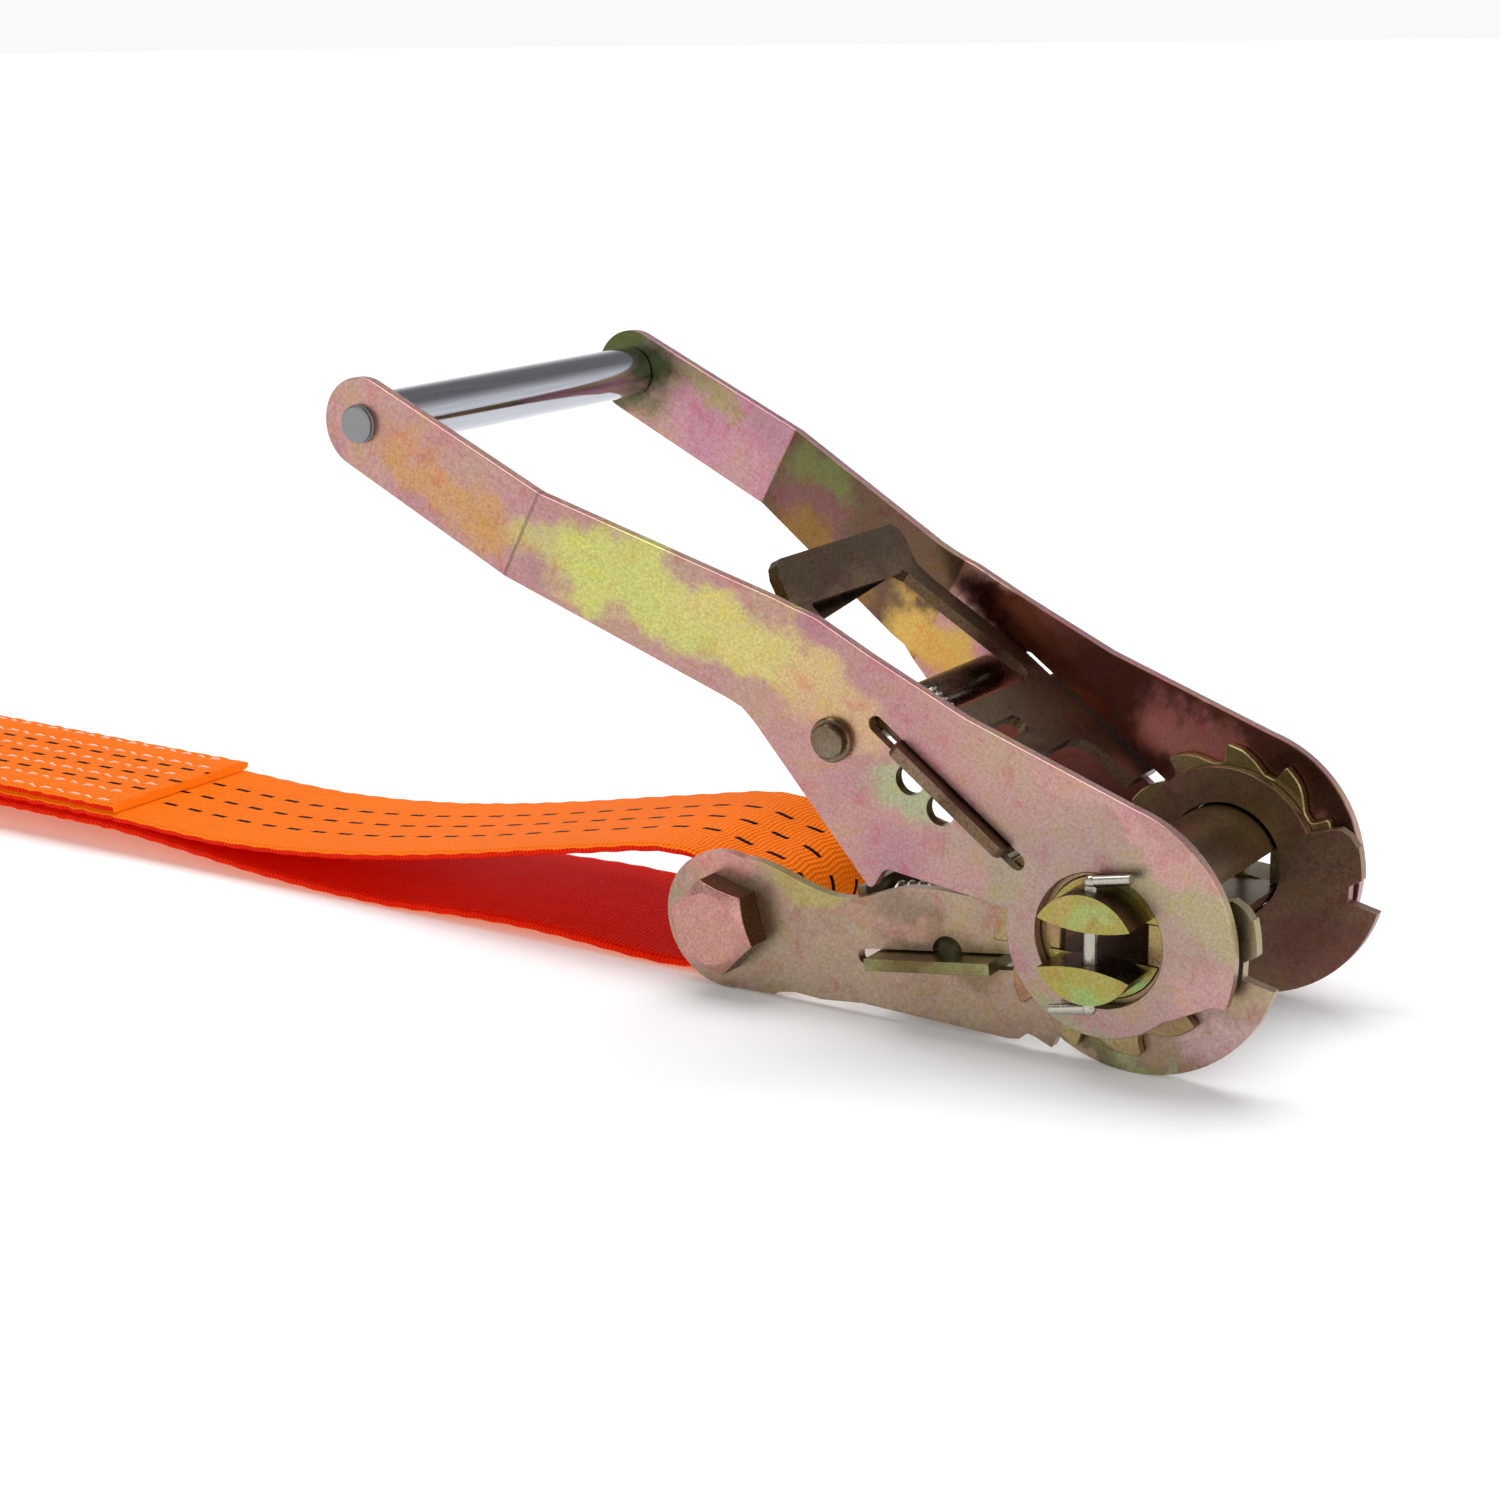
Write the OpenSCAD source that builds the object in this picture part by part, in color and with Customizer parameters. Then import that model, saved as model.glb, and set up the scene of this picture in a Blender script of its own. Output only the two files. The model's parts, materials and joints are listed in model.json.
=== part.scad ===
// Ratchet lashing tensioner for 50 mm webbing, with its short sewn strap.
// X runs along the tool, from the strap at -X to the open end at +X.
// Y is the spool's axis, with the near side of the tool at -Y. Z is up.
// The origin is the middle of the spool's axis.

/* [Widths across the tool] */
// width of the webbing
strap_width = 50; // [45:0.5:50]
// clear gap between the two frame plates
inner_gap = 52.8; // [52:0.2:54]
// thickness of every pressed steel plate
plate = 2.6; // [2.2:0.1:2.8]
// thickness of one ratchet wheel
wheel_thick = 2.4; // [2:0.1:2.6]
// clearance between plates that turn past each other
side_clear = 0.3; // [0.25:0.05:0.4]
// how far the handle plates spread on each side toward the grip
handle_flare = 17; // [12:1:20]

/* [Frame] */
// distance from the spool's axis to the strap bolt
frame_length = 92; // [86:1:100]
// how far the frame's nose is tipped below the strap bolt
frame_tilt = 8; // [4:1:10]
// radius of the rounded end around the strap bolt
ear_r = 15.3; // [13:0.1:16]
// radius of the ring around the spool
ring_r = 20.6; // [20:0.1:20.8]
// radius of the round heel under the spool
heel_r = 30.6; // [28:0.2:32]
// diameter of the strap bolt
bolt_d = 12; // [10:1:14]
// width across the flats of the bolt head and nut
bolt_flats = 18.5; // [17:0.5:19]

/* [Handle] */
// angle of the handle above the floor
handle_open = 28.5; // [27:0.5:34]
// distance from the spool's axis to the grip
handle_length = 192; // [180:1:210]
// distance from the spool's axis to the sharp end of the flare
flare_end = 145; // [135:1:155]
// distance from the spool's axis to the start of the flare
flare_start = 90; // [84:1:96]
// radius of the rounded grip end
grip_end_r = 9.9; // [9:0.1:11]
// outside diameter of the grip tube
grip_d = 12; // [10:0.5:14]
// distance from the spool's axis to the spacer rod
spacer_at = 68.7; // [66:0.1:72]
// diameter of the spacer rod
spacer_d = 8.2; // [6:0.2:9]

/* [Spool and ratchet wheels] */
// radius of the spool
spool_r = 12.5; // [12:0.1:12.6]
// gap that the webbing threads through
spool_slot = 8.8; // [7:0.2:9.4]
// length of each spool bar
spool_length = 82.8; // [80:0.2:84]
// number of teeth on each wheel
teeth = 11; // [9:1:13]
// radius over the tooth tips
tip_r = 25; // [24.5:0.1:25]
// radius at the foot of the teeth
root_r = 20.9; // [20.5:0.1:21.5]

/* [Pawls] */
// angle of the drive pawl's slot to the handle
drive_angle = 8.2; // [7:0.2:9]
// length of a pawl's ears along its slot
ear_length = 31; // [28:0.5:32]
// gap between a pawl's nose and the tooth tips at rest
nose_clear = 0.35; // [0.3:0.05:0.6]
// height of the lock pawl below the frame's centre line
lock_drop = 6.9; // [6:0.1:7.5]
// height of the finger lip
lip_height = 11; // [9:0.5:14]

/* [Strap] */
// thickness of one layer of webbing
ply = 2.4; // [2:0.1:2.8]
// inside radius of the strap's turn round the bolt sleeve
turn_r = 8.1; // [8:0.1:9]

/* [Output] */
// sub-part to draw, or all of them

/* [Hidden] */
$fn = 96;
olive_zinc = [0.62, 0.56, 0.42];
rose_zinc = [0.74, 0.60, 0.57];
green_zinc = [0.62, 0.68, 0.44];
brown_zinc = [0.42, 0.32, 0.20];
bright_steel = [0.70, 0.71, 0.72];
orange_web = [0.95, 0.36, 0.08];

frame_in = inner_gap / 2;
frame_out = frame_in + plate;
wheel_in = frame_out + side_clear;
wheel_out = wheel_in + wheel_thick;
handle_in = wheel_out + side_clear;
handle_out = handle_in + plate;
grip_in = handle_in + handle_flare;
grip_out = handle_out + handle_flare;
half = plate / 2;
slot_w = plate + 0.8;
pawl_side = handle_in - 0.4;
drive_ear = handle_out + 2.9;
lock_ear = handle_out + 0.4;
nose_r = tip_r + nose_clear;
slot_near = 20.7;
drive_slot_far = nose_r + ear_length + 7.9;
lock_slot_far = 59.3;
handle_bore = spool_r + 1.3;
frame_bore = spool_r + 0.5;
floor_drop = 28.4;
web_gap = 0.06;

// a point on a circle, by radius and angle
function polar(r, a) = [r * cos(a), r * sin(a)];
// points along an arc
function arc(c, r, a0, a1, n) = [for (i = [0:n]) c + polar(r, a0 + (a1 - a0) * i / n)];
// height of a smooth step between two points, as a list of points from p to q
function wave(p, q, n) = [for (i = [0:n]) [p[0] + (q[0] - p[0]) * i / n,
    q[1] + (p[1] - q[1]) * (1 + cos(180 * i / n)) / 2]];
// the same list in the opposite order
function flip(list) = [for (i = [len(list) - 1:-1:0]) list[i]];

// a flat outline in X and Z, given thickness from y0 to y1
module sheet(y0, y1) {
    translate([0, y1, 0]) rotate([90, 0, 0]) linear_extrude(height = y1 - y0) children();
}
// a cylinder along Y, centred on x, z
module across(x, z, r, y0, y1) {
    translate([x, y1, z]) rotate([90, 0, 0]) cylinder(r = r, h = y1 - y0);
}
module on_frame() {
    rotate([0, -frame_tilt, 0]) children();
}
module on_handle() {
    rotate([0, handle_open, 0]) children();
}
// the drive pawl's plane: X away from the spool, Y across, Z square to the plate
module on_drive() {
    on_handle() rotate([0, drive_angle, 0]) mirror([1, 0, 0]) children();
}
// an obround slot along X in an outline
module slot_2d(x0, x1, w) {
    r = w / 2;
    translate([x0 + r, 0]) circle(r = r);
    translate([x1 - r, 0]) circle(r = r);
    translate([x0 + r, -r]) square([x1 - x0 - w, w]);
}

// ---------- frame ----------
notch_low = [27.3, -8.5];
notch_tip = [33.4, -10.9];
heel_centre = [5.5, 1.5];
module frame_outline() {
    ear_top = 13.9;
    waist = 5.7;
    hump = 8.3;
    translate([-frame_length, 0]) circle(r = ear_r);
    circle(r = ring_r);
    polygon(concat(
        wave([-frame_length + 5.6, ear_top], [-60, waist], 12),
        wave([-60, waist], [-44, hump], 8),
        wave([-44, hump], [-20, waist], 8),
        [[0, 0], [-16, -24.6], [-19.6, -22.5], [-21.2, -21.9], [-23.4, -23.2], [-25.8, -23.2],
         [-60, -17.3], [-70, -16.9], [-76.5, -15.6], [-80.8, -15.7], [-82, -16.4],
         [-frame_length - 3, -14.9]]));
    intersection() {
        translate(heel_centre) circle(r = heel_r);
        polygon([[0, 0], [-26, -22.9], [-40, -60], [60, -60], [60, -19.5], notch_tip,
                 notch_low, [20, -2]]);
    }
    intersection() {
        circle(r = 31);
        polygon([[0, 0], notch_low, [27.9, -5.1], [33, -2.9], [40, 4], [30.4, 3.4],
                 [29.2, 5.6], [27, 7.2], [20, 6.2]]);
    }
}
module frame_cuts() {
    bead_r = 3.5;
    bead_at = [-37.6, -5.4];
    circle(r = frame_bore);
    translate([-frame_length, 0]) circle(r = bolt_d / 2 + 0.1);
    translate([-lock_slot_far, -lock_drop]) slot_2d(0, lock_slot_far - slot_near + 1.2, slot_w);
    translate(bead_at) circle(r = bead_r);
}
module frame_plate(y0) {
    on_frame() sheet(y0, y0 + plate) difference() {
        frame_outline();
        frame_cuts();
    }
}
module frame_plate_near() {
    color(rose_zinc) frame_plate(-frame_out);
}
module frame_plate_far() {
    color(rose_zinc) frame_plate(frame_in);
}

// ---------- strap bolt, nut and sleeve ----------
bolt_head = 7.5;
nut_high = 10;
// a hexagon along Y with its face at y0 chamfered round
module hexagon(y0, y1, turn) {
    corner_r = bolt_flats / 2 / cos(30);
    face_r = bolt_flats * 0.43;
    chamfer = (corner_r - face_r) * tan(30);
    translate([0, y1, 0]) rotate([90, 0, 0]) rotate([0, 0, turn]) intersection() {
        cylinder(r = corner_r, h = y1 - y0, $fn = 6);
        rotate_extrude() polygon([[0, 0], [corner_r + 1, 0], [corner_r + 1, y1 - y0 - chamfer],
            [corner_r, y1 - y0 - chamfer], [face_r, y1 - y0], [0, y1 - y0]]);
    }
}
module strap_bolt() {
    thread_end = frame_out + nut_high + 2.5;
    color(rose_zinc) on_frame() translate([-frame_length, 0, 0]) {
        hexagon(-frame_out - bolt_head, -frame_out, 98);
        across(0, 0, bolt_d / 2, -frame_out - 1, thread_end);
    }
}
module strap_bolt_nut() {
    color(olive_zinc) on_frame() translate([-frame_length, 0, 0]) difference() {
        mirror([0, 1, 0]) hexagon(-frame_out - nut_high, -frame_out, 90);
        across(0, 0, bolt_d / 2 + 0.03, frame_out - 1, frame_out + nut_high + 1);
    }
}
sleeve_r = turn_r - 0.3;
module bolt_sleeve() {
    color(olive_zinc) on_frame() difference() {
        across(-frame_length, 0, sleeve_r, -frame_in, frame_in);
        across(-frame_length, 0, bolt_d / 2 + 0.2, -frame_in - 1, frame_in + 1);
    }
}

// ---------- lock pawl, its springs and their seat ----------
lock_nose = 24.9;
lock_tail = lock_nose + ear_length - 1.5;
seat_x = -59.2;
// outside radius of a lock spring, and where the pair stands
spring_r = 4.3;
spring_y = 15;
spring_z = 1.4;
tab_x = -40;
module spring_seat() {
    seat_low = -lock_drop + half + 0.45;
    boss = 3;
    color(rose_zinc) on_frame() {
        translate([seat_x, -frame_in, seat_low]) cube([2.2, inner_gap, 7.6 - seat_low]);
        for (s = [-1, 1]) translate([seat_x + 2, s * spring_y, spring_z])
            rotate([0, 90, 0]) cylinder(r = spring_r - 1.7, h = boss);
    }
}
module lock_pawl() {
    inside = frame_in - 0.4;
    neck = 17;
    color(olive_zinc) on_frame() difference() {
        union() {
            translate([-lock_tail, -lock_ear, -lock_drop - half])
                cube([lock_tail - lock_nose, 2 * lock_ear, plate]);
            translate([tab_x, -spring_y - 5.5, -lock_drop])
                cube([plate, 2 * spring_y + 11, lock_drop + 6.6]);
            for (s = [-1, 1]) translate([tab_x - 2.6, s * spring_y, spring_z])
                rotate([0, 90, 0]) cylinder(r = spring_r - 1.7, h = 4);
        }
        translate([-lock_tail - 1, -neck, -lock_drop - plate]) cube([8, 2 * neck, 2 * plate]);
        translate([-lock_nose - 4, -neck - 3, -lock_drop - plate])
            cube([8, 2 * neck + 6, 2 * plate]);
    }
}
// a helix along X as one swept tube, from x0 to x1
module coil(x0, x1, r, wire, turns) {
    sides = 8;
    rings = turns * 14;
    pts = [for (i = [0:rings]) let (a = 360 * turns * i / rings, x = x0 + (x1 - x0) * i / rings,
            pitch = (x1 - x0) / (2 * PI * r * turns), k = atan(pitch))
        for (j = [0:sides - 1]) let (b = 360 * j / sides, d = r + wire / 2 * cos(b),
            e = wire / 2 * sin(b))
            [x + e * cos(k), d * cos(a) + e * sin(k) * sin(a), d * sin(a) - e * sin(k) * cos(a)]];
    walls = [for (i = [0:rings - 1], j = [0:sides - 1])
        let (p = i * sides + j, q = i * sides + (j + 1) % sides) [p, q, q + sides, p + sides]];
    caps = [[for (j = [sides - 1:-1:0]) j], [for (j = [0:sides - 1]) rings * sides + j]];
    polyhedron(points = pts, faces = concat(walls, caps), convexity = 10);
}
module lock_springs() {
    wire = 1.2;
    color(bright_steel) on_frame() for (s = [-1, 1]) translate([0, s * spring_y, spring_z])
        coil(seat_x + 2.2 + wire / 2 + 0.1, tab_x - wire / 2 - 0.1, spring_r - wire / 2 + 0.2,
             wire, 6);
}

// ---------- handle ----------
spacer_w = 0.3;
grip_w = 1.3;
cam_r = 28.7;
// outline of a handle plate with the grip at -X
module handle_outline() {
    tip_x = -46;
    hook = [[-89.8, -6.6], [-48.4, -22.0], [-47.2, -22.5], [-46.4, -22.2], [tip_x, -21.4],
            [tip_x + 0.2, -17.6], [tip_x + 1, -16.4], [-20, -6.9], [0, 0]];
    circle(r = 20.2);
    intersection() {
        circle(r = cam_r);
        polygon([[0, 0], [13.4, -14.3], [26.2, 3.6], [40, 10], [40, 40], [-20, 40], [-20, 0]]);
    }
    polygon(concat([[-2.5, cam_r - 0.15], [-45.9, 21.9], [-70, 20.4], [-83.4, 20],
                    [-flare_start, 19], [-flare_end, 13.9], [-handle_length, grip_w + grip_end_r],
                    [-handle_length, grip_w - grip_end_r], [-flare_end, -6.8]], hook));
    translate([-handle_length, grip_w]) circle(r = grip_end_r);
}
module handle_cuts() {
    bead_r = 3.2;
    circle(r = handle_bore);
    translate([-spacer_at, spacer_w]) circle(r = spacer_d / 2 - 1);
    translate([-handle_length, grip_w]) circle(r = 3.1);
    rotate(-drive_angle) mirror([1, 0]) translate([slot_near, 0])
        slot_2d(0, drive_slot_far - slot_near, slot_w);
    for (p = [[-50, 3.4], [-41.2, 2.1]]) translate(p) circle(r = bead_r);
}
// the plate's path seen from above: straight, flared outward, then straight again
module joggle(side) {
    soft = 4;
    inner = [[40, handle_in], [-flare_start + soft, handle_in], [-flare_start - soft,
             handle_in + soft * handle_flare / (flare_end - flare_start)],
             [-flare_end, grip_in], [-handle_length - 30, grip_in]];
    lean = 0.5 * plate * handle_flare / (flare_end - flare_start);
    outer = [for (p = inner) [p[0] + (p[0] < -flare_start + soft ? lean : lean / 4),
             p[1] + plate]];
    intersection() {
        translate([0, 0, -30]) linear_extrude(height = 70)
            on_side(side) polygon(concat(inner, flip(outer)));
        children();
    }
}
// a plan outline kept on the far side, or mirrored to the near side
module on_side(side) {
    if (side < 0) mirror([0, 1]) children();
    else children();
}
module handle_plate(side) {
    on_handle() joggle(side) sheet(-70, 70) difference() {
        handle_outline();
        handle_cuts();
    }
}
module handle_plate_near() {
    color(rose_zinc) handle_plate(-1);
}
module handle_plate_far() {
    color(rose_zinc) handle_plate(1);
}
// a rod riveted into the handle plates: shoulders, necks through the plates and domed heads
module riveted_rod(x, w, body_r, neck_r, head_r, head_h, collar, y_in, y_out) {
    on_handle() {
        across(x, w, body_r, -y_in, y_in);
        across(x, w, neck_r, -y_out - 0.5, y_out + 0.5);
        for (s = [0, 1]) mirror([0, s, 0]) translate([x, -y_out, w]) rotate([90, 0, 0])
            rotate_extrude() polygon([[0, 0], [head_r, 0], [head_r, head_h * 0.4],
                [head_r - 0.3, head_h * 0.5], [head_r * collar, head_h * 0.5],
                [head_r * collar, head_h * 0.88], [head_r * collar - 0.4, head_h], [0, head_h]]);
    }
}
module grip_rod() {
    color(bright_steel) riveted_rod(-handle_length, grip_w, 3.9, 3.05, 4.2, 1.8, 0.96,
        grip_in, grip_out);
}
module grip_tube() {
    end_play = 0.4;
    color(bright_steel) on_handle() difference() {
        across(-handle_length, grip_w, grip_d / 2, -grip_in + end_play, grip_in - end_play);
        across(-handle_length, grip_w, 4.2, -grip_in, grip_in);
    }
}
module spacer_rod() {
    color(brown_zinc) riveted_rod(-spacer_at, spacer_w, spacer_d / 2, spacer_d / 2 - 1.05, 4.7,
        3.2, 0.78, handle_in, handle_out);
}

// ---------- drive pawl ----------
bar_low = nose_r + 15;
bar_high = nose_r + 32.4;
waist_x = nose_r + 38;
neck_x = nose_r + 64;
lip_x = nose_r + 71;
lip_side = 26.2;
lip_turn = 25;
drive_spring_y = -12;
// outline of the drive pawl: nose and ears, window, and the arms up to the finger lip
module drive_outline() {
    leg_in = 22.5;
    tail = nose_r + ear_length;
    for (s = [0, 1]) mirror([0, s]) difference() {
        polygon([[bar_low, -1], [bar_low, 17], [bar_low - 1.2, 20], [bar_low - 4, leg_in - 0.4],
                 [bar_low - 7, leg_in], [nose_r, leg_in], [nose_r, drive_ear - 1],
                 [nose_r + 1, drive_ear], [tail - 1, drive_ear], [tail, drive_ear - 1],
                 [tail, pawl_side], [waist_x, pawl_side], [neck_x, lip_side + 0.2],
                 [lip_x, lip_side], [lip_x, -1]]);
        polygon([[bar_high, -2], [bar_high, 22.5], [bar_high + 1.2, 25], [bar_high + 4, 26],
                 [lip_x - 10, 21.2], [lip_x - 3.4, 20.2], [lip_x - 1.4, 18.6], [lip_x - 1.4, -2]]);
    }
}
module drive_pawl() {
    hole_mid = nose_r + 23.3;
    hole_w = 5.2;
    hole_l = 15;
    color(olive_zinc) on_drive() {
        difference() {
            translate([0, 0, -half]) linear_extrude(height = plate) drive_outline();
            for (s = [-1, 1]) translate([hole_mid, s * (hole_l - hole_w) / 2, -plate])
                cylinder(r = hole_w / 2, h = 2 * plate);
            translate([hole_mid - hole_w / 2, -(hole_l - hole_w) / 2, -plate])
                cube([hole_w, hole_l - hole_w, 2 * plate]);
        }
        translate([lip_x - 1.4, 0, 0]) rotate([0, -lip_turn, 0]) intersection() {
            translate([-0.4, -lip_side, -half]) cube([lip_height, 2 * lip_side, plate]);
            translate([0, 0, -plate]) linear_extrude(height = 2 * plate) polygon([
                [-2, -lip_side], [lip_height - 4, -lip_side], [lip_height - 1.6, -lip_side + 1.2],
                [lip_height, -lip_side + 4], [lip_height, lip_side - 4],
                [lip_height - 1.6, lip_side - 1.2], [lip_height - 4, lip_side], [-2, lip_side]]);
        }
        translate([bar_high - 1, drive_spring_y, 0]) rotate([0, 90, 0]) cylinder(r = 1.2, h = 5);
    }
}
module drive_spring() {
    wire = 1;
    reach = 65.4;
    color(bright_steel) on_drive() translate([0, drive_spring_y, 0])
        coil(bar_high + wire / 2 + 0.1, reach - wire / 2, 2.6, wire, 4);
}

// ---------- spool ----------
spool_end_r = spool_r - 1.3;
// half of the spool: a barrel between the wheels and turned-down ends with crowned faces
module spool_bar(s) {
    crown_r = 34;
    crown_low = 3.7;
    pin_hole = 1.6;
    rotate([0, s > 0 ? 0 : 180, 0]) difference() {
        union() {
            difference() {
                across(0, 0, spool_r, -wheel_out - 0.1, wheel_out + 0.1);
                translate([-spool_r - 1, -50, -spool_r - 1])
                    cube([2 * spool_r + 2, 100, spool_r + 1 + spool_slot / 2]);
            }
            intersection() {
                across(0, 0, spool_end_r, -spool_length / 2, spool_length / 2);
                across(0, crown_low + crown_r, crown_r, -spool_length / 2, spool_length / 2);
                for (y = [-50, wheel_out]) translate([-20, y, 0])
                    cube([40, 50 - wheel_out, 40]);
            }
        }
        for (y = [-pin_y, pin_y]) translate([0, y, 0]) cylinder(r = pin_hole, h = 20);
    }
}
pin_y = handle_out + 3.1;
module spool_bar_upper() {
    color(green_zinc) spool_bar(1);
}
module spool_bar_lower() {
    color(green_zinc) spool_bar(-1);
}
// one wheel: saw teeth outside, round bore with a key each side for the spool's slot
module wheel_2d() {
    pitch = 360 / teeth;
    first = 28.1;
    bore = spool_r + web_gap;
    key_in = 9.4;
    tooth = tip_r - root_r - 0.25;
    difference() {
        polygon([for (i = [0:teeth - 1]) let (a = first + pitch * i) each concat(
            [polar(tip_r - 0.15, a - 3), polar(tip_r, a - 1.4), polar(tip_r - 0.5, a),
             polar(root_r + 1.2, a + 0.6), polar(root_r + 0.3, a + 1.6)],
            [for (k = [0:3]) polar(root_r, a + 2.8 + k * 1.7)],
            [for (k = [1:5]) polar(root_r + tooth * sin(15 * k), a + pitch * (0.27 + 0.115 * k))])]);
        difference() {
            circle(r = bore);
            for (s = [0, 1]) mirror([s, 0]) translate([key_in, -spool_slot / 2 + web_gap])
                square([8, spool_slot - 2 * web_gap]);
        }
    }
}
module ratchet_wheel_near() {
    color(olive_zinc) sheet(-wheel_out, -wheel_in) wheel_2d();
}
module ratchet_wheel_far() {
    color(olive_zinc) sheet(wheel_in, wheel_out) wheel_2d();
}
// a bent pin through both spool bars, turned over at each end
module spool_pin(s) {
    r = 1.4;
    elbow = 0.12;
    over = spool_end_r + r + 0.4;
    bend = 8.6;
    translate([0, s * pin_y, 0]) {
        translate([0, 0, -over]) cylinder(r = r, h = 2 * over);
        for (k = [-1, 1]) translate([0, 0, k * over]) {
            sphere(r = r + elbow);
            rotate([0, k > 0 ? 78 : 258, 0]) cylinder(r1 = r - elbow, r2 = r * 0.75, h = bend);
        }
    }
}
module spool_pin_near() {
    color(bright_steel) spool_pin(-1);
}
module spool_pin_far() {
    color(bright_steel) spool_pin(1);
}

// ---------- strap ----------
// heights of a layer's centre line above the floor, by distance left of the spool
floor_z = -floor_drop;
bolt_x = -frame_length * cos(frame_tilt);
bolt_z = -frame_length * sin(frame_tilt);
turn_mid = turn_r + ply / 2;
function up(x, h) = [x, floor_z + h];
sewn_x = -281;
end_x = -386;
fold_x = end_x - 2;
eye_x = -412;
eye_r = 9.2;
sewn_lift = 5.6;
low_h = 1.25;
mid_h = low_h + ply + web_gap;
top_h = mid_h + ply + web_gap;
end_lift = eye_r + ply / 2 - mid_h + 0.05;
under = [up(-104, 1.3), up(-120, 1.5), up(-136, 2.6), up(-152, 3.1), up(-170, 2.6),
         up(-190, 1.4), up(-212, 1.6), up(-234, 2.8), up(-256, 4.8), up(sewn_x, low_h + sewn_lift)];
over = [up(-101, 27.6), up(-108, 27.9), up(-116, 27.2), up(-130, 24.4), up(-146, 21.4),
        up(-166, 17.4), up(-186, 13.9), up(-206, 11.0), up(-226, 9.1), up(-246, 8.2),
        up(-262, 8.5)];
// how far the sewn end stands off the floor, at x
function lift_at(x) = sewn_lift + (end_lift - sewn_lift) * (x - sewn_x) / (fold_x - sewn_x);
turn = arc([bolt_x, bolt_z], turn_mid, 112, -108, 26);
eye_mid = floor_z + mid_h + end_lift;
eye = arc([eye_x, eye_mid], eye_r, 62, 298, 20);
path = concat([up(sewn_x, top_h + sewn_lift), up(fold_x, top_h + end_lift)], eye,
              [up(fold_x, low_h + end_lift)], flip(under), flip(turn), over,
              [up(sewn_x, mid_h + sewn_lift), up(end_x + 4, mid_h + lift_at(end_x + 4))]);
function unit(v) = v / norm(v);
// the direction square to the path at its point i
function side_of(p, i) = let (n = len(p), a = p[max(i - 1, 0)], b = p[min(i + 1, n - 1)],
    d = unit(b - a)) [-d[1], d[0]];
// a band of thickness t along the path p
module ribbon(p, t) {
    polygon(concat([for (i = [0:len(p) - 1]) p[i] + side_of(p, i) * t / 2],
                   [for (i = [len(p) - 1:-1:0]) p[i] - side_of(p, i) * t / 2]));
}
module strap() {
    color(orange_web) sheet(-strap_width / 2, strap_width / 2) ribbon(path, ply);
}

frame_plate_near();
frame_plate_far();
strap_bolt();
strap_bolt_nut();
bolt_sleeve();
spring_seat();
lock_pawl();
lock_springs();
handle_plate_near();
handle_plate_far();
grip_rod();
grip_tube();
spacer_rod();
drive_pawl();
drive_spring();
spool_bar_upper();
spool_bar_lower();
ratchet_wheel_near();
ratchet_wheel_far();
spool_pin_near();
spool_pin_far();
strap();
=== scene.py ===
import json
import math

import bpy
import numpy as np
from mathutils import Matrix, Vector


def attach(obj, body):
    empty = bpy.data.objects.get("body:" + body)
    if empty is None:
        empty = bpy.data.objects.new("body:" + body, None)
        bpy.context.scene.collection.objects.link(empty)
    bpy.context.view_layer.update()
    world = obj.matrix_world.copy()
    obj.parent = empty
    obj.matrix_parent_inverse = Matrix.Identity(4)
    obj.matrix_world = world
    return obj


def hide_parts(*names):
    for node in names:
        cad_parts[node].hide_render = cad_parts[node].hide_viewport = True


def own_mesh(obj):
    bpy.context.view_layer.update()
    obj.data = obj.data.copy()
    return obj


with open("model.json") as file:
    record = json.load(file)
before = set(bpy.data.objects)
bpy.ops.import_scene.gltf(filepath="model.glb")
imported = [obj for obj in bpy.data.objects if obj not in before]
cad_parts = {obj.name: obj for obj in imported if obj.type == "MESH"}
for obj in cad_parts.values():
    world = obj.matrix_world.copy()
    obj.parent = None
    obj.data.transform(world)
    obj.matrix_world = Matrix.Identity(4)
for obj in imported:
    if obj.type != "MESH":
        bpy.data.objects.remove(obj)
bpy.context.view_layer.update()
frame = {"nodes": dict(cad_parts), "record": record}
nodes = frame["nodes"]

# ---------------------------------------------------------------- camera
# A long lens, a little above the tool on its near side, with the handle rising to the left.
camera_data = bpy.data.cameras.new("camera")
camera_data.sensor_width = 36
camera_data.lens = 65.45
camera_data.clip_start = 0.01
camera = bpy.data.objects.new("camera", camera_data)
camera.location = (0.2202, -0.4954, 0.1750)
camera.rotation_euler = [math.radians(a) for a in (75.04, 0.81, 32.92)]
bpy.context.collection.objects.link(camera)
bpy.context.scene.camera = camera
bpy.context.scene.view_settings.view_transform = "Standard"


# ---------------------------------------------------------------- table and room
# A matt white table under the tool. It is lit from within more and more from 0.3 m outwards,
# as a backlit sheet is, so that it has no far edge.
def linear(hex_code):
    """An sRGB hex colour as linear RGBA."""
    parts = [int(hex_code[i:i + 2], 16) / 255 for i in (0, 2, 4)]
    return [c / 12.92 if c <= 0.04045 else ((c + 0.055) / 1.055) ** 2.4 for c in parts] + [1]


def add(tree, kind, settings=None, **sockets):
    """Adds one node. A socket takes a value, an output, or a node for its first output.

    A socket is given by its name, with _ for a space, or as in0, in1 and so on.
    """
    new = tree.nodes.new(kind)
    for key, value in (settings or {}).items():
        setattr(new, key, value)
    for key, value in sockets.items():
        by_number = key.startswith("in") and key[2:].isdigit()
        socket = new.inputs[int(key[2:]) if by_number else key.replace("_", " ")]
        if isinstance(value, bpy.types.Node):
            value = value.outputs[0]
        if isinstance(value, bpy.types.NodeSocket):
            tree.links.new(value, socket)
        else:
            socket.default_value = value
    return new


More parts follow.
